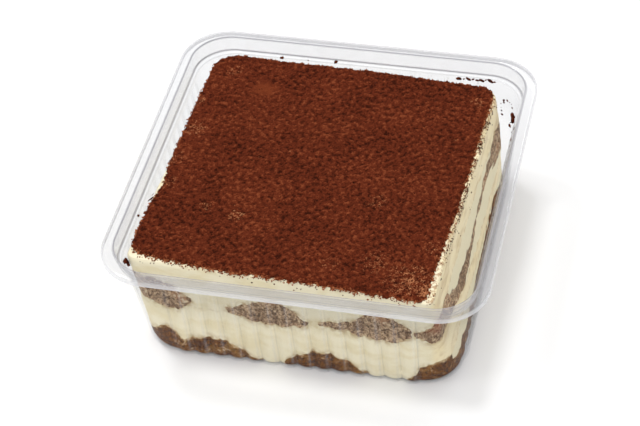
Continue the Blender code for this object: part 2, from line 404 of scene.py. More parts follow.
# painted shade: the sheet sees through darker along the flute seams
depth = edge_on + upper * 0.23 - raised * 0.07 + seam_shade * 0.18
through = place.node("ShaderNodeMixShader", {}, {0: depth, 1: clear, 2: deep})
haze = place.node("ShaderNodeBsdfPrincipled", {}, {
    # Painted shade: the bends are veiled in a dark grey line, standing in for how they look edge
    # on.
    "Base Color": bend_shade.blend((lip_highlight + flute_highlight).blend(PLASTIC_HAZE, PLASTIC_LIP_HIGHLIGHT), PLASTIC_BEND_SHADE),
    "Roughness": HAZE_ROUGH,
})
# Painted highlight: the lip is veiled in near-white.
veil = raised * (cloud * 0.06 + 0.055) + lip_highlight * 0.17 + cloud * 0.006
veil = veil + bend_shade * 0.95 + seam_shade * 0.07 + flute_highlight * cloud * 0.12
body = place.node("ShaderNodeMixShader", {}, {0: veil, 1: through, 2: haze})
gloss = place.node("ShaderNodeBsdfGlossy", {}, {"Color": ROOM_WHITE, "Roughness": GLOSS_ROUGH})
mirror = facing ** 5 * (raised * 0.40 + 0.10) + raised * 0.010 + 0.007
end_look(place.node("ShaderNodeMixShader", {}, {0: mirror, 1: body, 2: gloss}))
add_piece("tub_clear", plain_mesh(sheet), plastic, "clear_plastic", SHEET_CREASE, "tub")

# Sponge fingers
# Baked fingers soaked in coffee, laid in two rows from front to back. The front
# was cut across them, so that their open crumb shows.
FOOD_FLOOR = 0.0007
FOOD_TOP = 0.0371
# height, distance of the left, right, front and back, corner radii from the
# back right round to the front right
FOOD_LEVELS = (
    (0.0007, 0.0507, 0.0507, 0.0507, 0.0507, 0.0142, 0.0142, 0.0142, 0.0142),
    (0.0011, 0.0517, 0.0517, 0.0517, 0.0517, 0.0114, 0.0114, 0.0114, 0.0114),
    (0.0020, 0.0521, 0.0521, 0.0521, 0.0521, 0.0114, 0.0114, 0.0114, 0.0114),
    (0.0040, 0.0525, 0.0521, 0.0525, 0.0525, 0.0115, 0.0115, 0.0115, 0.0115),
    (0.0110, 0.0526, 0.0508, 0.0525, 0.0526, 0.0098, 0.0105, 0.0100, 0.0080),
    (0.0200, 0.0526, 0.0494, 0.0516, 0.0526, 0.0076, 0.0093, 0.0070, 0.0048),
    (0.0364, 0.0542, 0.0470, 0.0500, 0.0546, 0.0060, 0.0090, 0.0034, 0.0026),
    (0.0371, 0.0536, 0.0462, 0.0493, 0.0540, 0.0054, 0.0082, 0.0028, 0.0021),
)
PRESSED_DEPTH = 0.00105
PRESSED_TO = 0.0300
PRESSED_TO_RIGHT = 0.0080
PRESSED_FADE = 0.0120
PRESSED_RISE = 0.0005
RELIEF_RISE = 0.0030
RELIEF_FALL = 0.0010
RELIEF_AT_TOP = 0.3
FOOD_BASE_HEIGHTS = (0.0007, 0.0009, 0.0011, 0.0014)
FOOD_RINGS = 60
FOOD_RINGS_FROM = 0.0018
SIDE_POINTS = 150
FOOD_CORNER_STEPS = 10
TOP_SHARES = (0.985, 0.965, 0.93, 0.85, 0.65, 0.35)
COVERED_SHARE = 0.90
UNDER_COCOA = 0.0004
ASKEW = math.radians(-2.0)
ASKEW_FROM = 0.0040
ASKEW_OVER = 0.0160
SIDE_WAVE = 0.00013
SIDE_RIPPLES = ((95, 60, 210, 0.6), (-70, 88, 180, 2.3))
TOP_WAVE = 0.00018
TOP_RIPPLES = ((98, 0, 0, 0.7), (64, 112, 0, 2.1))
FINGER_POINTS = 120
FINGER_STATIONS = 74
FINGER_REACH = 0.060
FINGER_WANDER = 0.0004
FINGER_WANDER_RATE = 52
FINGER_LUMP = 0.0010
FINGER_LUMP_SIZE = 0.0036
SECTION_POWER = 0.75
CUT_POWER = 0.35
CUT_FROM = 0.0200
CUT_OVER = 0.0240
CUT_PLACES = (-0.9, -0.6, -0.3, 0.0, 0.3, 0.6, 0.9)
# inside the block: centre across, width, underside, top, tilt and phase of the
# wave; at the cut front: centre, width, and the crest and the underside there at
# seven places across
UPPER_FINGERS = (
    (-0.0433, 0.0215, 0.0184, 0.0306, 0.06, 0.4, -0.0450, 0.0240,
     (0.0305, 0.0305, 0.0305, 0.0302, 0.0297, 0.0280, 0.0247),
     (0.0222, 0.0219, 0.0211, 0.0199, 0.0187, 0.0187, 0.0210)),
    (-0.0070, 0.0285, 0.0182, 0.0262, 0.03, 1.9, -0.0070, 0.0274,
     (0.0238, 0.0257, 0.0269, 0.0278, 0.0277, 0.0261, 0.0232),
     (0.0210, 0.0197, 0.0192, 0.0190, 0.0189, 0.0192, 0.0199)),
    (0.0248, 0.0290, 0.0170, 0.0284, 0.00, 3.1, 0.0252, 0.0306,
     (0.0230, 0.0240, 0.0247, 0.0288, 0.0295, 0.0284, 0.0260),
     (0.0214, 0.0206, 0.0203, 0.0196, 0.0187, 0.0187, 0.0210)),
    (0.0523, 0.0222, 0.0150, 0.0290, 0.08, 4.6, 0.0490, 0.0172,
     (0.0243, 0.0254, 0.0268, 0.0286, 0.0302, 0.0311, 0.0312),
     (0.0227, 0.0210, 0.0200, 0.0197, 0.0190, 0.0168, 0.0145)),
)
LOWER_KEEL = (-0.0050,) * len(CUT_PLACES)
LOWER_FINGERS = (
    (-0.0330, 0.0400, -0.0040, 0.0062, -0.08, 0.9, -0.0315, 0.0400,
     (0.0095, 0.0122, 0.0072, 0.0096, 0.0103, 0.0073, 0.0035), LOWER_KEEL),
    (0.0105, 0.0282, -0.0050, 0.0098, 0.20, 2.6, 0.0100, 0.0292,
     (0.0053, 0.0075, 0.0097, 0.0097, 0.0089, 0.0070, 0.0030), LOWER_KEEL),
    (0.0482, 0.0225, -0.0050, 0.0104, 0.02, 5.2, 0.0470, 0.0206,
     (0.0039, 0.0083, 0.0098, 0.0100, 0.0098, 0.0090, 0.0082), LOWER_KEEL),
)
# on the right side cream is smeared over the sponge: places from front to back,
# and between which heights the sponge stays bare there
BARE_PLACES = (
    -0.050, -0.045, -0.040, -0.033, -0.027, -0.015,
    0.000, 0.012, 0.023, 0.031, 0.040, 0.050,
)
BARE_HEIGHTS = {
    "upper_sponge": (
        (0.0130, 0.0118, 0.0110, 0.0115, 0.0130, 0.0165,
         0.0195, 0.0222, 0.0226, 0.0200, 0.0185, 0.0175),
        (0.0320, 0.0310, 0.0285, 0.0238, 0.0222, 0.0205,
         0.0216, 0.0234, 0.0260, 0.0278, 0.0290, 0.0290),
    ),
    "lower_sponge": (
        (-0.010,) * len(BARE_PLACES),
        (0.0080, 0.0072, 0.0064, 0.0058, 0.0056, 0.0058,
         0.0076, 0.0092, 0.0113, 0.0090, 0.0066, 0.0060),
    ),
}
SMEAR_SIZE = Vector((0.010, 0.010, 0.0045))
SMEAR_DEPTH = 0.00030
FLECK_SIZE = 0.0017
FLECK_DEPTH = 0.00010
SMEAR_DEEP = 0.0011
RIGHT_FACE_FROM = 0.0430
BETWEEN_ROWS = 0.0130
SMEAR_SOFT = 0.0014
SMEAR_STRAY = 0.0020
SMEAR_STREAKS = (200, 130, 400)
SMEAR_FADE = 0.0005
RIM_REACH = 0.0018
CRUMB_OPEN = 0.12
BROAD_PATCH = 0.0085
COARSE_PORE = 0.0013
FINE_PORE = 0.0006
CRUMB_SIZE = 0.0016
CRUMB_DEPTH = 0.0007
UPPER_BROWN = (0.180, 0.101, 0.051, 1)
UPPER_PALE = (0.52, 0.36, 0.215, 1)
UPPER_PORE_SHADE = (0.040, 0.019, 0.009, 1)
UPPER_WARM = (0.34, 0.135, 0.05, 1)
LOWER_BROWN = (0.066, 0.017, 0.002, 1)
LOWER_PALE = (0.225, 0.083, 0.008, 1)
LOWER_PORE_SHADE = (0.022, 0.008, 0.003, 1)
LOWER_WARM = (0.34, 0.175, 0.038, 1)
COFFEE_SPOT = (0.0452, -0.0490, 0.0262)
COFFEE_RED = (0.36, 0.10, 0.035, 1)
CREAM_PALE = (0.80, 0.72, 0.50, 1)
CREAM_SOAKED = (0.58, 0.44, 0.25, 1)


def ripple(waves, x, y, z=0.0):
    return sum(np.sin(a * x + b * y + c * z + phase) for a, b, c, phase in waves)


def food_top(x, y):
    return FOOD_TOP + TOP_WAVE * ripple(TOP_RIPPLES, x, y)


def turned(points, angle):
    turn = np.array(((math.cos(angle), math.sin(angle)), (-math.sin(angle), math.cos(angle))))
    return points @ turn


def askew_at(z):
    share = min(max((z - ASKEW_FROM) / ASKEW_OVER, 0.0), 1.0)
    return ASKEW * share * share * (3 - 2 * share)


def food_ring(z):
    """Points once round the block at that height, and the way out from each, before any relief."""
    heights = [row[0] for row in FOOD_LEVELS]
    left, right, front, back, *radii = (
        float(np.interp(z, heights, [row[k] for row in FOOD_LEVELS])) for k in range(1, 9)
    )
    corners = ((right, back), (-left, back), (-left, -front), (right, -front))
    arcs, normals = [], []
    for index, ((cx, cy), radius) in enumerate(zip(corners, radii)):
        angles = math.pi / 2 * (index + np.linspace(0, 1, FOOD_CORNER_STEPS + 1))
        out = np.stack([np.cos(angles), np.sin(angles)], axis=1)
        middle = np.array((cx - math.copysign(radius, cx), cy - math.copysign(radius, cy)))
        arcs.append(middle + radius * out)
        normals.append(out)
    points, outward = [], []
    for index in range(4):
        start, end = arcs[index][-1], arcs[(index + 1) % 4][0]
        shares = np.linspace(0, 1, SIDE_POINTS + 2)[1:-1, None]
        points += [arcs[index], start + shares * (end - start)]
        outward += [normals[index], np.repeat(normals[index][-1:], SIDE_POINTS, axis=0)]
    points, outward = np.concatenate(points), np.concatenate(outward)
    if z > ASKEW_FROM:
        wave = ripple(SIDE_RIPPLES, points[:, 0], points[:, 1], z)
        grown = 1 + SIDE_WAVE * wave / np.hypot(*points.T)
        points = points * grown[:, None]
    return turned(points, askew_at(z)), turned(outward, askew_at(z))


def pressed(points, outward, z):
    """How far the food bulges there into the flutes of the tub."""
    sideways = np.abs(outward[:, 0]) > np.abs(outward[:, 1])
    along = np.where(sideways, points[:, 1], points[:, 0])
    share = (along + FLUTE_SPAN) * FLUTES / (2 * FLUTE_SPAN) % 1
    bulge = np.where(np.abs(along) < FLUTE_SPAN, 1 - (2 * share - 1) ** 2, 0.0)
    highest = np.where(sideways & (outward[:, 0] > 0), PRESSED_TO_RIGHT, PRESSED_TO)
    fade = np.clip((highest - z) / PRESSED_FADE, 0, 1) * min(1.0, (z - FOOD_FLOOR) / PRESSED_RISE)
    return PRESSED_DEPTH * bulge * fade


def food_block(name, relief):
    """The whole block as one mesh, with its sides moved out by relief(place) at each point."""
    rings = []
    for z in (*FOOD_BASE_HEIGHTS, *np.linspace(FOOD_RINGS_FROM, FOOD_TOP, FOOD_RINGS)):
        points, outward = food_ring(z)
        moved = np.array([relief(Vector((x, y, z))) for x, y in points])
        fade_low = (z - FOOD_FLOOR) / RELIEF_RISE
        fade_high = RELIEF_AT_TOP + (FOOD_TOP - z) / RELIEF_FALL
        moved = moved * min(1.0, fade_low, fade_high)
        moved += pressed(points, outward, z)
        points = points + outward * moved[:, None]
        rings.append(np.column_stack([points, np.full(len(points), z)]))
    rings[-1][:, 2] = food_top(rings[-1][:, 0], rings[-1][:, 1])
    middle = rings[-1].mean(axis=0)
    for share in TOP_SHARES:
        inner = middle + share * (rings[-1 - TOP_SHARES.index(share)] - middle)
        lower = UNDER_COCOA if share < COVERED_SHARE else 0.0
        inner[:, 2] = food_top(inner[:, 0], inner[:, 1]) - lower
        rings.append(inner)
    return new_mesh(name, *loft(rings, True, True))


def finger_form(finger, y):
    """Centre, half width and power of the section there, and what gives its two outlines."""
    centre, width, low, high, tilt, phase, cut_centre, cut_width, crest, keel = finger
    cut = np.clip((-y - CUT_FROM) / CUT_OVER, 0, 1)
    wave = FINGER_WANDER_RATE * y + phase
    half = ((1 - cut) * width + cut * cut_width) / 2
    middle = (1 - cut) * (centre + FINGER_WANDER * np.cos(wave)) + cut * cut_centre
    power = (1 - cut) * SECTION_POWER + cut * CUT_POWER

    def outlines(share):
        swell = FINGER_WANDER * np.sin(wave) + tilt * share * half
        top = (1 - cut) * (high + swell) + cut * np.interp(share, CUT_PLACES, crest)
        bottom = (1 - cut) * (low + swell) + cut * np.interp(share, CUT_PLACES, keel)
        return top, bottom

    return middle, half, power, outlines


def finger_section(finger, y):
    centre, half, power, outlines = finger_form(finger, y)
    angles = np.linspace(0, 2 * math.pi, FINGER_POINTS, endpoint=False)
    c, s = np.cos(angles), np.sin(angles)
    share = np.sign(c) * np.abs(c) ** SECTION_POWER
    top, bottom = outlines(share)
    x = centre + share * half
    z = (top + bottom) / 2 + np.sign(s) * np.abs(s) ** power * (top - bottom) / 2
    lumps = []
    for px, pz, cosine, sine in zip(x, z, c, s):
        spot = Vector((px, y, pz)) / FINGER_LUMP_SIZE
        lump = noise.noise(spot) + 0.7 * noise.noise(spot * 2.3) + 0.35 * noise.noise(spot * 4.1)
        lumps.append((px + FINGER_LUMP * lump * cosine, pz + FINGER_LUMP * lump * sine))
    return np.array(lumps)


def finger_bar(name, finger):
    rings = []
    for y in np.linspace(FINGER_REACH, -FINGER_REACH, FINGER_STATIONS):
        section = finger_section(finger, y)
        flat = np.column_stack([section[:, 0], np.full(FINGER_POINTS, y)])
        flat = turned(flat, askew_at(finger[2]))
        rings.append(np.column_stack([flat, section[:, 1]]))
    return new_mesh(name, *loft(rings, True, True))


def combined(mesh, other, operation):
    """The mesh cut by the other one, or what both share, with the finest faces kept."""
    body, tool = lay_down("body", mesh), lay_down("tool", other)
    cut = body.modifiers.new("cut", "BOOLEAN")
    cut.operation = operation
    cut.solver = "MANIFOLD"
    cut.object = tool
    made = plain_mesh(body)
    bpy.data.objects.remove(tool)
    return made


def cream_relief(spot):
    stretched = Vector((spot.x / SMEAR_SIZE.x, spot.y / SMEAR_SIZE.y, spot.z / SMEAR_SIZE.z))
    return SMEAR_DEPTH * noise.noise(stretched) + FLECK_DEPTH * noise.noise(spot / FLECK_SIZE)


def crumb_relief(spot):
    pores = noise.noise(spot / CRUMB_SIZE) + 0.6 * noise.noise(spot / (0.5 * CRUMB_SIZE))
    open_crumb = CRUMB_DEPTH * min(CRUMB_OPEN, pores * 0.5)
    if spot.x < RIGHT_FACE_FROM:
        return open_crumb
    row = "upper_sponge" if spot.z > BETWEEN_ROWS else "lower_sponge"
    cover = float(covered(row, np.array([spot]))[0])
    return (1 - cover) * open_crumb + cover * cream_relief(spot)


def mesh_points(mesh):
    flat = np.empty(len(mesh.vertices) * 3, np.float32)
    mesh.vertices.foreach_get("co", flat)
    return flat.reshape(-1, 3).astype(float)


def depth_in(finger, points):
    """How far each point lies outside the finger's section, in metres, below 0 inside."""
    flat = turned(points[:, :2], -askew_at(finger[2]))
    centre, half, power, outlines = finger_form(finger, flat[:, 1])
    share = (flat[:, 0] - centre) / half
    inner = np.clip(share, -1, 1)
    top, bottom = outlines(inner)
    edge = (1 - np.abs(inner) ** (2 / SECTION_POWER)) ** (power / 2) * (top - bottom) / 2
    over = np.abs(points[:, 2] - (top + bottom) / 2)
    return np.where(np.abs(share) < 1, over - edge, np.hypot((np.abs(share) - 1) * half, over))


def covered(row, points):
    """How much cream covers the sponge of that row there, if it is on the right side."""
    low, high = (np.interp(points[:, 1], BARE_PLACES, heights) for heights in BARE_HEIGHTS[row])
    streaks = points * np.array(SMEAR_STREAKS)
    stray = np.array([noise.noise(Vector(p)) + 0.6 * noise.noise(2.3 * Vector(p)) for p in streaks])
    over = np.maximum(low - points[:, 2], points[:, 2] - high) + SMEAR_STRAY * stray
    return np.clip(over / SMEAR_SOFT + 0.5, 0, 1)


def smeared(row, points):
    """The same, and nothing on the rest of the block."""
    heights, rights = ([ring[k] for ring in FOOD_LEVELS] for k in (0, 2))
    right = np.interp(points[:, 2], heights, rights)
    depth = right - turned(points[:, :2], -askew_at(points[:, 2].mean()))[:, 0]
    return covered(row, points) * np.clip((SMEAR_DEEP - depth) / SMEAR_FADE, 0, 1)


def sponge_look(name, brown, pale, pore_shade, warm, fringe, cream_bits):
    look, place = start_look(name)
    rim = place.noted("rim")
    broad = place.grain(BROAD_PATCH, 2.0, 0.5)
    coarse = place.grain(COARSE_PORE, 3.0, 0.65)
    fine = place.grain(FINE_PORE, 3.0, 0.65)
    # Painted shade: dark spots where the bump is lowest, standing in for the shade in the crumb's
    # holes.
    pores = 1 - (fine * 0.5 + coarse * 0.5).rising(0.38, 0.48)
    soaked = (coarse * 0.7 + broad * 0.4 + (fine - 0.5) * 0.8).rising(0.44, 0.70)
    colour = soaked.blend(brown, pale)
    colour = (broad.rising(0.54, 0.66) * 0.55).blend(colour, warm)
    ends = {0: place, 1: COFFEE_SPOT}
    near_spot = place.node("ShaderNodeVectorMath", {"operation": "DISTANCE"}, ends, 1)
    wet = 1 - (near_spot + (coarse - 0.5) * 0.006).rising(0.0012, 0.0050)
    colour = (wet * 0.75).blend(colour, COFFEE_RED)
    creamy = (coarse * 0.75 + broad * 0.45).rising(0.68, 0.76)
    colour = (creamy * cream_bits).blend(colour, CREAM_PALE)
    colour = (rim ** 3 * fringe).blend(colour, warm)
    colour = (pores * 0.65).blend(colour, pore_shade)
    torn = (rim + (coarse - 0.5) * 2.0 + (fine - 0.5) * 1.4).rising(0.74, 1.14)
    colour = (torn * 0.85).blend(colour, CREAM_SOAKED)
    drawn_over = (place.noted("smear") + (fine - 0.5) * 0.5).rising(0.35, 0.75)
    colour = drawn_over.blend(colour, CREAM_PALE)
    height = fine * 0.7 + coarse * 0.5
    end_matt_look(place, colour, coarse * 0.25 + 0.50, 0.2, height, 0.6, 0.0005)
    return look


sponge_block = food_block("sponge_block", crumb_relief)
sponge_rows = (
    ("upper_sponge", UPPER_FINGERS,
     sponge_look("soaked_sponge", UPPER_BROWN, UPPER_PALE, UPPER_PORE_SHADE, UPPER_WARM, 0.2, 0.55)),
    ("lower_sponge", LOWER_FINGERS,
     sponge_look("soaked_sponge_dark", LOWER_BROWN, LOWER_PALE, LOWER_PORE_SHADE, LOWER_WARM, 0.9, 0.3)),
)
finger_bars = []
for row, fingers, look in sponge_rows:
    for number, finger in enumerate(fingers, 1):
        bar = finger_bar(f"{row}_bar", finger)
        finger_bars.append(bar)
        crumb = combined(bar.copy(), sponge_block, "INTERSECT")
        rim = np.clip(1 + depth_in(finger, mesh_points(crumb)) / RIM_REACH, 0, 1)
        note(crumb, "rim", rim)
        if number == len(fingers):
            note(crumb, "smear", smeared(row, mesh_points(crumb)))
        add_piece(f"{row}_crumb_{number}", crumb, look, row, FOOD_CREASE, f"{row}_{number}")

# Cream
# Whipped mascarpone cream, filled round both rows of fingers and spread level
# over them. Its sides show how the knife and the tub drew it along.
STAIN_REACH = 0.0026
STAIN_GRAIN = 0.0017
SWIRL_SIZE = 0.011
SPECK_SIZE = 0.0011
DRAG_SIZE = 0.0040
DRAG_STRETCH = (1, 0.30, 1)
WARM_FROM = 0.0440
WARM_TO = 0.0465
SEAM_LINE_STRENGTH = 0.8
SEAM_LINES = ((-0.0530, -0.0470, 0.0215), (-0.0345, -0.0215, 0.0208), (0.0045, 0.0090, 0.0212))
SEAM_LINE_THICK = 0.0006
DUSTED_FROM = 0.0450
DUSTED_DEEP = 0.0008
CREAM_LIGHT = (0.80, 0.728, 0.525, 1)
CREAM_DEEP = (0.742, 0.650, 0.42, 1)
CREAM_STAIN = (0.40, 0.27, 0.12, 1)
CREAM_DRAG = (0.50, 0.33, 0.14, 1)
CREAM_DUSTED = (0.33, 0.155, 0.060, 1)
CREAM_SIDE_LIT = (0.93, 0.76, 0.43, 1)

cream_mesh = food_block("cream_block", cream_relief)
all_bars = []
for bar in finger_bars:
    all_bars.append(lay_down("bar", bar))
with bpy.context.temp_override(active_object=all_bars[0], selected_editable_objects=all_bars):
    bpy.ops.object.join()
bars = all_bars[0].data
bpy.data.objects.remove(all_bars[0])
cream_mesh = combined(cream_mesh, bars, "DIFFERENCE")
spots = mesh_points(cream_mesh)
nearest = np.min([depth_in(finger, spots) for finger in UPPER_FINGERS + LOWER_FINGERS], axis=0)
stain = np.clip(1 - nearest / STAIN_REACH, 0, 1)
for first, last, height in SEAM_LINES:
    between = (spots[:, 0] > first) & (spots[:, 0] < last) & (spots[:, 1] < 0)
    drawn = np.clip(1 - np.abs(spots[:, 2] - height) / SEAM_LINE_THICK, 0, 1)
    stain = np.where(between, np.maximum(stain, SEAM_LINE_STRENGTH * drawn), stain)
far_right = turned(spots[:, :2], -ASKEW)[:, 0] > DUSTED_FROM
dusted = (spots[:, 2] > FOOD_TOP - DUSTED_DEEP) & far_right
note(cream_mesh, "stain", stain)
note(cream_mesh, "dusted", dusted)
cream_look, place = start_look("mascarpone_cream")
swirl = place.stretched((1, 1, 3)).grain(SWIRL_SIZE, 3.0, 0.55)
fleck = place.grain(SPECK_SIZE, 3.0, 0.6)
stain = place.noted("stain")
colour = swirl.rising(0.40, 0.66).blend(CREAM_LIGHT, CREAM_DEEP)
soaked = (stain ** 1.6) * place.grain(STAIN_GRAIN, 3.0).rising(0.36, 0.62) * 0.8
colour = soaked.blend(colour, CREAM_STAIN)
sideways = place.node("ShaderNodeSeparateXYZ", {}, {"Vector": place}).rising(WARM_FROM, WARM_TO)
drag = place.stretched(DRAG_STRETCH).grain(DRAG_SIZE, 3.0, 0.6).rising(0.46, 0.68)
# Painted light: the right side is given a lighter, warmer cream than the rest.
colour = (sideways * 0.45).blend(colour, CREAM_SIDE_LIT)
colour = (sideways * drag * 0.50).blend(colour, CREAM_DRAG)
specked = place.noted("dusted") * fleck.rising(0.44, 0.60) * 0.7
colour = specked.blend(colour, CREAM_DUSTED)
height = swirl * 0.6 + fleck * 0.4
end_matt_look(place, colour, fleck * 0.3 + 0.38, 0.4, height, 0.5, 0.0005)
add_piece("cream_spread", cream_mesh, cream_look, "cream", FOOD_CREASE, "cream")

# Cocoa
# Dark cocoa sifted over the cream. It lies in small clumps, grew damp in places,
# and thins out towards its ragged edge.
COCOA_CELLS = 310
COCOA_RISE = 0.00088
COCOA_SIDES = (0.0542, 0.0461, 0.0500, 0.0547)
COCOA_RADII = (0.0052, 0.0080, 0.0050, 0.0030)
RIGHT_INSET = 0.0012
INSET_FROM = -0.15
INSET_OVER = 0.60
LEFT_NOTCH = 0.0011
NOTCH_AT = -0.30
NOTCH_WIDE = 0.16
FRONT_INSET = 0.0026
FRONT_INSET_FROM = -0.35
FRONT_INSET_OVER = 0.65
COCOA_RAGGED = 0.0010
COCOA_RAG_SIZE = 0.0015
TORN_ELSEWHERE = 0.55
LEAST_REACH = 0.01
CLUMP_SIZE = 0.0015
CLUMP_HEIGHT = 0.00022
GRAIN_SIZE = 0.00065
GRAIN_HEIGHT = 0.00026
CRACK_SIZE = 0.0030
CRACK_DEPTH = 0.00010
DRIFT_SIZE = 0.0130
DRIFT_HEIGHT = 0.00022
DAMP_RAG_SIZE = 0.002
MIDDLE_TO_EDGE = 0.05
EDGE_RISE = 0.0014
EDGE_RELIEF = 0.0020
EDGE_THIN = 0.0030
LEAST_COCOA = 0.00012
COCOA_FOOT = 0.00003
CLUMPS_SEEN = 0.0014
GRAINS_SEEN = 0.00050
DRIFTS_SEEN = 0.014
COCOA_DARK = (0.030, 0.0060, 0.0026, 1)
COCOA_BROWN = (0.106, 0.0195, 0.0075, 1)
COCOA_LIGHT = (0.215, 0.053, 0.020, 1)
COCOA_TAN = (0.52, 0.215, 0.095, 1)
FRINGE_LIGHT = (0.36, 0.125, 0.052, 1)
COCOA_DAMP = (0.165, 0.036, 0.0125, 1)
# spots where the cocoa is thin and the cream shows, as x, y, radius and depth
THIN_SPOTS = (
    (-0.0363, -0.0209, 0.0045, 0.50),
    (-0.0257, -0.0240, 0.0040, 0.52),
    (-0.0240, 0.0050, 0.0030, 0.36),
    (-0.0149, 0.0097, 0.0025, 0.34),
    (-0.0530, 0.0300, 0.0060, 0.50),
    (-0.0500, 0.0150, 0.0065, 0.55),
    (-0.0520, 0.0000, 0.0050, 0.50),
    (-0.0520, -0.0120, 0.0060, 0.52),
    (0.0360, -0.0430, 0.0120, 0.62),
    (0.0240, -0.0370, 0.0080, 0.52),
    (0.0430, -0.0460, 0.0070, 0.80),
    (0.0420, -0.0280, 0.0060, 0.50),
    (0.0100, -0.0400, 0.0060, 0.42),
    (0.0190, -0.0100, 0.0060, 0.5),
    (0.0389, 0.0235, 0.0012, 0.75),
    (0.0430, 0.0440, 0.0045, 0.55),
    (-0.0440, 0.0470, 0.0050, 0.5),
)
DAMP_SPOT = (-0.0311, 0.0395, 0.0042)


def cocoa_sides(u, v):
    """The outline's four sides. On the right the cocoa stops shorter near the front, and
    at the front it stops shorter near the left."""
    left, right, front, back = COCOA_SIDES
    left -= LEFT_NOTCH * math.exp(-(((v - NOTCH_AT) / NOTCH_WIDE) ** 2))
    right -= RIGHT_INSET * min(1.0, max(0.0, (INSET_FROM - v) / INSET_OVER))
    front -= FRONT_INSET * max(0.0, (FRONT_INSET_FROM - u) / FRONT_INSET_OVER) ** 1.5
    return left, right, front, back


def edge_distance(x, y, sides):
    """How far a rounded square's edge is from the middle, that way."""
    left, right, front, back = sides
    side_x = right if x > 0 else left
    side_y = back if y > 0 else front
    radius = COCOA_RADII[(0 if y > 0 else 3) if x > 0 else (1 if y > 0 else 2)]
    low, high = 0.0, 2.0
    for _ in range(18):
        share = (low + high) / 2
        over_x = max(abs(x) * share - (side_x - radius), 0)
        over_y = max(abs(y) * share - (side_y - radius), 0)
        inside = math.hypot(over_x, over_y) < radius
        low, high = (share, high) if inside else (low, share)
    return low


def cocoa_place(u, v):
    """The place of a grid point, whose edges follow the ragged rounded outline."""
    reach = max(abs(u), abs(v), 1e-9)
    sides = cocoa_sides(u / reach, v / reach)
    left, right, front, back = sides
    x = u * (right if u > 0 else left)
    y = v * (back if v > 0 else front)
    outline = edge_distance(x / reach, y / reach, sides)
    rag = noise.noise(Vector((x, y, 0)) / (reach * COCOA_RAG_SIZE))
    rag += 0.7 * noise.noise(Vector((x, y, 0.01)) / (reach * 0.45 * COCOA_RAG_SIZE))
    torn = 1.0 if v < -0.98 * reach else TORN_ELSEWHERE
    outline += (rag - 0.5) * torn * COCOA_RAGGED / max(math.hypot(x, y) / reach, LEAST_REACH)
    weight = reach ** 6
    scale = 1 - weight + weight * outline
    return x * scale, y * scale


def near_spots(x, y):
    """How thin the cocoa is there, from 0 to 1."""
    thin = 0.0
    for sx, sy, radius, depth in THIN_SPOTS:
        thin = max(thin, depth * max(0.0, 1 - ((x - sx) ** 2 + (y - sy) ** 2) / radius ** 2))
    return thin


cocoa_points, cocoa_thin, cocoa_dust, cocoa_relief_shades, cocoa_damp = [], [], [], [], []
for row in range(COCOA_CELLS + 1):
    for column in range(COCOA_CELLS + 1):
        u = 2 * column / COCOA_CELLS - 1
        v = 2 * row / COCOA_CELLS - 1
        x, y = cocoa_place(u, v)
        x, y = turned(np.array((x, y)), ASKEW)
        inward = (1 - max(abs(u), abs(v))) * MIDDLE_TO_EDGE
        thin = near_spots(x, y)
        spot = Vector((x, y, 0))
        clump = noise.noise(spot / CLUMP_SIZE)
        grain = noise.noise(spot / GRAIN_SIZE)
        crack = max(0.0, 1 - 7 * abs(noise.noise(spot / CRACK_SIZE)))
        drift = noise.noise(spot / DRIFT_SIZE)
        damp = math.hypot(0.7 * (x - DAMP_SPOT[0]), y - DAMP_SPOT[1]) / DAMP_SPOT[2]
        damp = max(0.0, 1 - damp - 0.5 * noise.noise(spot / DAMP_RAG_SIZE))
        relief = CLUMP_HEIGHT * clump + GRAIN_HEIGHT * grain - CRACK_DEPTH * crack
        relief = relief * (1 - 0.8 * damp) + DRIFT_HEIGHT * drift
        rise = COCOA_RISE * min(1.0, 0.25 + inward / EDGE_RISE) * (1 - 0.55 * thin)
        top = float(food_top(x, y))
        height = top + max(LEAST_COCOA, rise + relief * min(1.0, 0.3 + inward / EDGE_RELIEF))
        cocoa_points.append((x, y, height))
        edge = max(0.0, 1 - inward / EDGE_THIN)
        torn = 0.55 if v < -max(abs(u), 0.5) or u > max(abs(v), 0.5) else 0.35
        cocoa_thin.append(max(thin, torn * edge ** 2))
        cocoa_dust.append(0.35 + 0.65 * edge)
        # Painted shade: darker in the pits and cracks of the relief, lighter on its heaps.
        relief_shade = min(1.0, max(0.0, 0.5 + 0.7 * clump + 0.6 * grain - 0.25 * crack))
        cocoa_relief_shades.append(relief_shade * (1 - damp) + damp * 0.7)
        cocoa_damp.append(min(1.0, 1.4 * damp))
side = COCOA_CELLS + 1
cocoa_faces = [
    (k, k + 1, k + side + 1, k + side)
    for row in range(COCOA_CELLS) for k in range(row * side, row * side + COCOA_CELLS)
]
cocoa_top_mesh = new_mesh("cocoa_top", cocoa_points, cocoa_faces)
note(cocoa_top_mesh, "dust", cocoa_dust)
border = (
    [*range(side)]
    + [row * side + COCOA_CELLS for row in range(1, side)]
    + [COCOA_CELLS * side + column for column in range(COCOA_CELLS - 1, -1, -1)]
    + [row * side for row in range(COCOA_CELLS - 1, 0, -1)]
)
base = len(cocoa_points)
for k in border:
    x, y, _ = cocoa_points[k]
    cocoa_points.append((x, y, float(food_top(x, y)) + COCOA_FOOT))
rim_count = len(border)
for k in range(rim_count):
    following = (k + 1) % rim_count
    cocoa_faces.append((border[following], border[k], base + k, base + following))
cocoa_faces.append(tuple(base + k for k in reversed(range(rim_count))))
cocoa_mesh = new_mesh("cocoa", cocoa_points, cocoa_faces)
note(cocoa_mesh, "thin", cocoa_thin + [1.0] * rim_count)
note(cocoa_mesh, "relief_shade", cocoa_relief_shades + [0.3] * rim_count)
note(cocoa_mesh, "damp", cocoa_damp + [0.0] * rim_count)

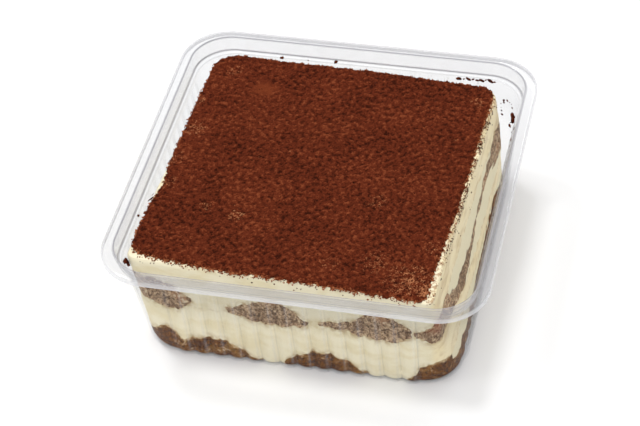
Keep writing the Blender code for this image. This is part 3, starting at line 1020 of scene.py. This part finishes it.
cocoa_look, place = start_look("cocoa_powder")
clumps = place.grain(CLUMPS_SEEN, 3.0, 0.65)
grains = place.grain(GRAINS_SEEN, 3.0, 0.7)
drift = place.grain(DRIFTS_SEEN, 2.0)
thin = place.noted("thin")
# Partly the cocoa's own mottling, partly painted shade: the grains and clumps that raise the bump
# also lighten the colour, and the pits are darker.
tone_and_relief_shade = place.noted("relief_shade") * 0.26 + clumps * 0.28 + grains * 0.48 + drift * 0.20
colour = tone_and_relief_shade.rising(0.43, 0.62).blend(COCOA_DARK, COCOA_BROWN)
colour = tone_and_relief_shade.rising(0.62, 0.80).blend(colour, COCOA_LIGHT)
colour = (place.noted("damp") * (grains * 0.5 + 0.45)).blend(colour, COCOA_DAMP)
bare = (thin * 0.9 + (grains - 0.5) * 2.0 + (clumps - 0.5) * 1.6).rising(0.50, 0.95)
colour = (bare * thin.rising(0.05, 0.4) * 0.8).blend(colour, COCOA_TAN)
height = grains * 0.5 + clumps * 0.6
end_matt_look(place, colour, grains * 0.2 + 0.78, 0.02, height, 1.0, 0.0006)
add_piece("cocoa_dusting", cocoa_mesh, cocoa_look, "cocoa", NO_CREASE, "cocoa")

# Cocoa grains
# Loose grains and small clumps of the same cocoa: over the dusting, along its
# ragged edge, and spilled on the front and the right side of the cream.
LUMPS_SEEN = 0.0012
GRAIN_SMALLEST = 0.00010
GRAIN_LARGEST = 0.00028
TOP_DENSITY = 0.60e6
SIDE_DENSITY = 13.0e6
FRINGE_DENSITY = 15.0e6
FRINGE_SMALLEST = 0.00012
FRINGE_LARGEST = 0.00040
FRINGE_PATCH = 0.0016
FRINGE_FRONT = 0.0019
FRINGE_SIDES = 0.0007
FRINGE_STEPS = 5
FRINGE_LIFT = 0.00030
FRINGE_UNDER = 0.3
EDGE_LARGEST = 0.00034
GRAIN_SEED = 11
FRONT_EDGE = -0.0497
FRONT_BAND = 0.0012
FRONT_THICK = 0.10
FRONT_STRAY = 0.003
STRAY_DOWN_TO = 0.006
RIGHT_EDGE = 0.0467
RIGHT_BAND = 0.0005
RIGHT_BACK_FROM = -0.028
RIGHT_BACK_OVER = 0.014
RIGHT_FRONT_SHARE = 0.12
RIGHT_FACE = 0.0472
RIGHT_FACE_BAND = 0.0016
RIGHT_FACE_STRAY = 0.006
RIGHT_STRAY_DOWN_TO = 0.010
SPILL_DROP = 0.0009
SPILL_PATCH = 0.0022


def scatter_tree():
    """Drops lumps on the faces of a mesh, as thickly as its dust value says."""
    tree = bpy.data.node_groups.new("scatter_grains", "GeometryNodeTree")
    sockets = {}
    for name, kind in (
        ("Bed", "Geometry"), ("Density", "Float"), ("Smallest", "Float"),
        ("Largest", "Float"), ("Seed", "Int"), ("Look", "Material"),
    ):
        kind = "NodeSocket" + kind
        sockets[name] = tree.interface.new_socket(name, in_out="INPUT", socket_type=kind)
    tree.interface.new_socket("Grains", in_out="OUTPUT", socket_type="NodeSocketGeometry")
    start = Wire(tree)
    given = tree.nodes.new("NodeGroupInput")

    def put_in(name):
        return Wire(tree, given.outputs[name])

    dust = start.node("GeometryNodeInputNamedAttribute", {"data_type": "FLOAT"}, {"Name": "dust"})
    spread = start.node("GeometryNodeDistributePointsOnFaces", {}, {
        "Mesh": put_in("Bed"), "Density": put_in("Density") * dust, "Seed": put_in("Seed"),
    })
    size = start.node("FunctionNodeRandomValue", {"data_type": "FLOAT"}, {
        2: put_in("Smallest"), 3: put_in("Largest"), "Seed": put_in("Seed"),
    }, 1)
    squeeze = start.node("FunctionNodeRandomValue", {"data_type": "FLOAT_VECTOR"}, {
        0: (0.7, 0.7, 0.5), 1: (1.2, 1.1, 0.9), "Seed": put_in("Seed"),
    })
    spin = start.node("FunctionNodeRandomValue", {"data_type": "FLOAT_VECTOR"}, {
        0: (-0.6, -0.6, 0.0), 1: (0.6, 0.6, 6.28), "Seed": put_in("Seed"),
    })
    lump = start.node("GeometryNodeMeshIcoSphere", {}, {"Radius": 1.0, "Subdivisions": 1})
    scale = start.node("ShaderNodeVectorMath", {"operation": "SCALE"}, {0: squeeze, "Scale": size})
    placed = start.node("GeometryNodeInstanceOnPoints", {}, {
        "Points": spread, "Instance": lump, "Rotation": spin, "Scale": scale,
    })
    whole = start.node("GeometryNodeRealizeInstances", {}, {"Geometry": placed})
    painted = start.node("GeometryNodeSetMaterial", {}, {
        "Geometry": whole, "Material": put_in("Look"),
    })
    start.node("NodeGroupOutput", {}, {"Grains": painted})
    return tree, {name: socket.identifier for name, socket in sockets.items()}


def scattered(bed, density, smallest, largest, seed, look):
    obj = lay_down("bed", bed)
    grow = obj.modifiers.new("grains", "NODES")
    grow.node_group = scatter
    for name, value in (
        ("Density", density), ("Smallest", smallest), ("Largest", largest),
        ("Seed", seed), ("Look", look),
    ):
        grow[scatter_inputs[name]] = value
    return plain_mesh(obj)


scatter, scatter_inputs = scatter_tree()


def lump_look(name, first, second):
    look, place = start_look(name)
    shade = place.grain(LUMPS_SEEN, 2.0)
    colour = shade.rising(0.35, 0.65).blend(first, second)
    end_matt_look(place, colour, shade * 0.2 + 0.75, 0.02)
    return look


grain_look = lump_look("cocoa_grain", COCOA_DARK, COCOA_BROWN)
fringe_look = lump_look("cocoa_fringe", COCOA_BROWN, FRINGE_LIGHT)
top_grains = scattered(
    cocoa_top_mesh, TOP_DENSITY, GRAIN_SMALLEST, GRAIN_LARGEST, GRAIN_SEED, grain_look
)
add_piece("cocoa_grains", top_grains, grain_look, "cocoa", NO_CREASE)

fringe_points, fringe_dust = [], []
for k in border:
    x, y, _ = cocoa_points[k]
    row, column = divmod(k, side)
    out = np.array([float(cell == COCOA_CELLS) - float(cell == 0) for cell in (column, row)])
    wide = FRINGE_FRONT if row == 0 else FRINGE_SIDES
    for step in range(FRINGE_STEPS + 1):
        share = step / FRINGE_STEPS
        reach = (share * (1 + FRINGE_UNDER) - FRINGE_UNDER) * wide
        fx, fy = np.array((x, y)) + reach * turned(out / np.hypot(*out), ASKEW)
        fringe_points.append((fx, fy, float(food_top(fx, fy)) + FRINGE_LIFT * (1 - share)))
        patch = 0.5 + 1.6 * noise.noise(Vector((fx, fy, 0)) / FRINGE_PATCH)
        fringe_dust.append((1 - share) ** 1.6 * min(1.0, max(0.1, patch)))
fringe_faces = []
for start in range(0, len(fringe_points), FRINGE_STEPS + 1):
    after = (start + FRINGE_STEPS + 1) % len(fringe_points)
    for k in range(FRINGE_STEPS):
        fringe_faces.append((start + k, start + k + 1, after + k + 1, after + k))
fringe_bed = new_mesh("fringe_bed", fringe_points, fringe_faces)
note(fringe_bed, "dust", fringe_dust)
fringe = scattered(
    fringe_bed, FRINGE_DENSITY, FRINGE_SMALLEST, FRINGE_LARGEST, GRAIN_SEED + 2, fringe_look
)
add_piece("cocoa_fringe", fringe, fringe_look, "cocoa", NO_CREASE)

side_bed = cream_mesh.copy()
spots = mesh_points(side_bed)
below = FOOD_TOP - spots[:, 2]
flat = turned(spots[:, :2], -ASKEW)
near_top = np.exp(-np.abs(below) / SPILL_DROP)
on_front = np.clip(1 - np.abs(flat[:, 1] - FRONT_EDGE) / FRONT_BAND, 0, 1)
on_right = np.clip(1.4 - np.abs(flat[:, 0] - RIGHT_EDGE) / RIGHT_BAND, 0, 1)
on_face = np.clip(1 - np.abs(flat[:, 0] - RIGHT_FACE) / RIGHT_FACE_BAND, 0, 1)
far_back = np.clip((flat[:, 1] - RIGHT_BACK_FROM) / RIGHT_BACK_OVER, RIGHT_FRONT_SHARE, 1)
dust = on_front * (FRONT_THICK * near_top + FRONT_STRAY * (below < STRAY_DOWN_TO))
dust += on_right * far_back * near_top
dust += on_face * RIGHT_FACE_STRAY * (below < RIGHT_STRAY_DOWN_TO)
patches = np.array([noise.noise(Vector(p) / SPILL_PATCH) for p in spots])
dust *= np.clip(0.5 + 1.8 * patches, 0, 1)
note(side_bed, "dust", dust)
side_grains = scattered(
    side_bed, SIDE_DENSITY, GRAIN_SMALLEST, EDGE_LARGEST, GRAIN_SEED + 1, grain_look
)
add_piece("spilled_grains", side_grains, grain_look, "cocoa", NO_CREASE)

# Cocoa on the tub
# Crumbs and smears of cocoa that stuck to the inside of the wall: a ring and a
# clot at the back right, a few along the back, strokes on the left.
# where each group starts and ends on the wall, how many crumbs, half length,
# half width and thickness of each, and how far each strays
CLOT_GROUPS = (
    ((0.0335, 0.0568, 0.0366), (0.0478, 0.0566, 0.0368), 9, 0.0008, 0.0004, 0.0003, 0.0007),
    ((0.0549, 0.0478, 0.0300), (0.0554, 0.0462, 0.0288), 4, 0.0013, 0.0009, 0.0006, 0.0005),
    ((0.0530, 0.0494, 0.0234), (0.0556, 0.0455, 0.0318), 5, 0.0006, 0.0004, 0.0003, 0.0008),
    ((0.0562, 0.0400, 0.0330), (0.0564, 0.0250, 0.0352), 4, 0.0004, 0.0003, 0.0002, 0.0012),
    ((-0.0340, 0.0570, 0.0374), (-0.0050, 0.0572, 0.0375), 3, 0.0005, 0.0004, 0.0002, 0.0006),
    ((-0.0563, -0.0190, 0.0350), (-0.0560, -0.0100, 0.0322), 3, 0.0014, 0.0002, 0.0001, 0.0004),
    ((-0.0570, -0.0292, 0.0374), (-0.0570, -0.0284, 0.0374), 1, 0.0004, 0.0003, 0.0002, 0.0001),
    ((-0.0557, -0.0493, 0.0376), (-0.0550, -0.0474, 0.0334), 12, 0.0006, 0.0005, 0.0005, 0.0011),
)
RING_MIDDLE = Vector((0.0523, 0.0511, 0.0286))
RING_ALONG = Vector((0.7071, -0.7071, 0.0))
RING_RADIUS = 0.0040
RING_START = math.radians(55)
RING_STEP = math.radians(19)
RING_CRUMBS = 10
RING_STRAY = 0.0007
RING_CRUMB = 0.00036
RING_CRUMB_VARIES = 0.00022
RING_CRUMB_THICK = 0.0002
STRAY_RATE = 900
CLOT_ROUGH = 0.45
CLOT_TURNS = 10
CLOT_BANDS = 5


def clot(spot, length, width, thick, wall, number):
    """A rough lump that lies flat on the wall."""
    place, out, _, _ = wall.find_nearest(Vector(spot))
    along = Vector((-out.y, out.x, 0)).normalized()
    along = (along + Vector((0, 0, 0.6 * math.sin(2.4 * number)))).normalized()
    over = out.cross(along).normalized()
    along = over.cross(out)
    points, faces = [], []
    for band in range(1, CLOT_BANDS):
        polar = math.pi * band / CLOT_BANDS
        for step in range(CLOT_TURNS):
            angle = 2 * math.pi * step / CLOT_TURNS
            flat = math.sin(polar)
            ray = Vector((flat * math.cos(angle), flat * math.sin(angle), math.cos(polar)))
            rough = 1 + CLOT_ROUGH * noise.noise(ray * 1.7 + Vector((number, 0, 0)))
            ray = ray * rough
            point = place + along * ray.x * length + over * ray.y * width
            points.append(point + out * (ray.z + 0.8) * thick)
    poles = len(points)
    points += [place + out * 1.8 * thick, place - out * 0.2 * thick]
    for step in range(CLOT_TURNS):
        after = (step + 1) % CLOT_TURNS
        faces.append((step, after, poles))
        for band in range(CLOT_BANDS - 2):
            first = band * CLOT_TURNS
            second = first + CLOT_TURNS
            faces.append((after + first, step + first, step + second, after + second))
        last = (CLOT_BANDS - 2) * CLOT_TURNS
        faces.append((after + last, step + last, poles + 1))
    return points, faces


def strayed(spot, far):
    """The place moved by up to that far, always the same way for the same place."""
    spread = [noise.noise(spot * STRAY_RATE + Vector((7 * axis, 0, 0))) for axis in range(3)]
    return spot + far * Vector(spread)


wall = BVHTree.FromPolygons(*loft(tub_rings, False, False))
clots = []
for first, last, count, length, width, thick, stray in CLOT_GROUPS:
    for k in range(count):
        spot = Vector(first).lerp(Vector(last), (k + 0.5) / count)
        swell = 1 + CLOT_ROUGH * math.sin(3.7 * k + 1)
        size = (length * swell, width * swell, thick)
        clots.append((strayed(spot, stray), *size))
for k in range(RING_CRUMBS):
    angle = RING_START + k * RING_STEP
    round_ring = math.cos(angle) * RING_ALONG + Vector((0, 0, math.sin(angle)))
    spot = RING_MIDDLE + RING_RADIUS * round_ring
    size = RING_CRUMB + RING_CRUMB_VARIES * math.sin(5.1 * k)
    clots.append((strayed(spot, RING_STRAY), size, 0.7 * size, RING_CRUMB_THICK))
clot_points, clot_faces = [], []
for number, (spot, length, width, thick) in enumerate(clots):
    points, faces = clot(spot, length, width, thick, wall, number)
    clot_faces += [tuple(k + len(clot_points) for k in face) for face in faces]
    clot_points += points
stuck = new_mesh("cocoa_on_tub", clot_points, clot_faces)
add_piece("cocoa_on_tub", stuck, grain_look, "cocoa", NO_CREASE)
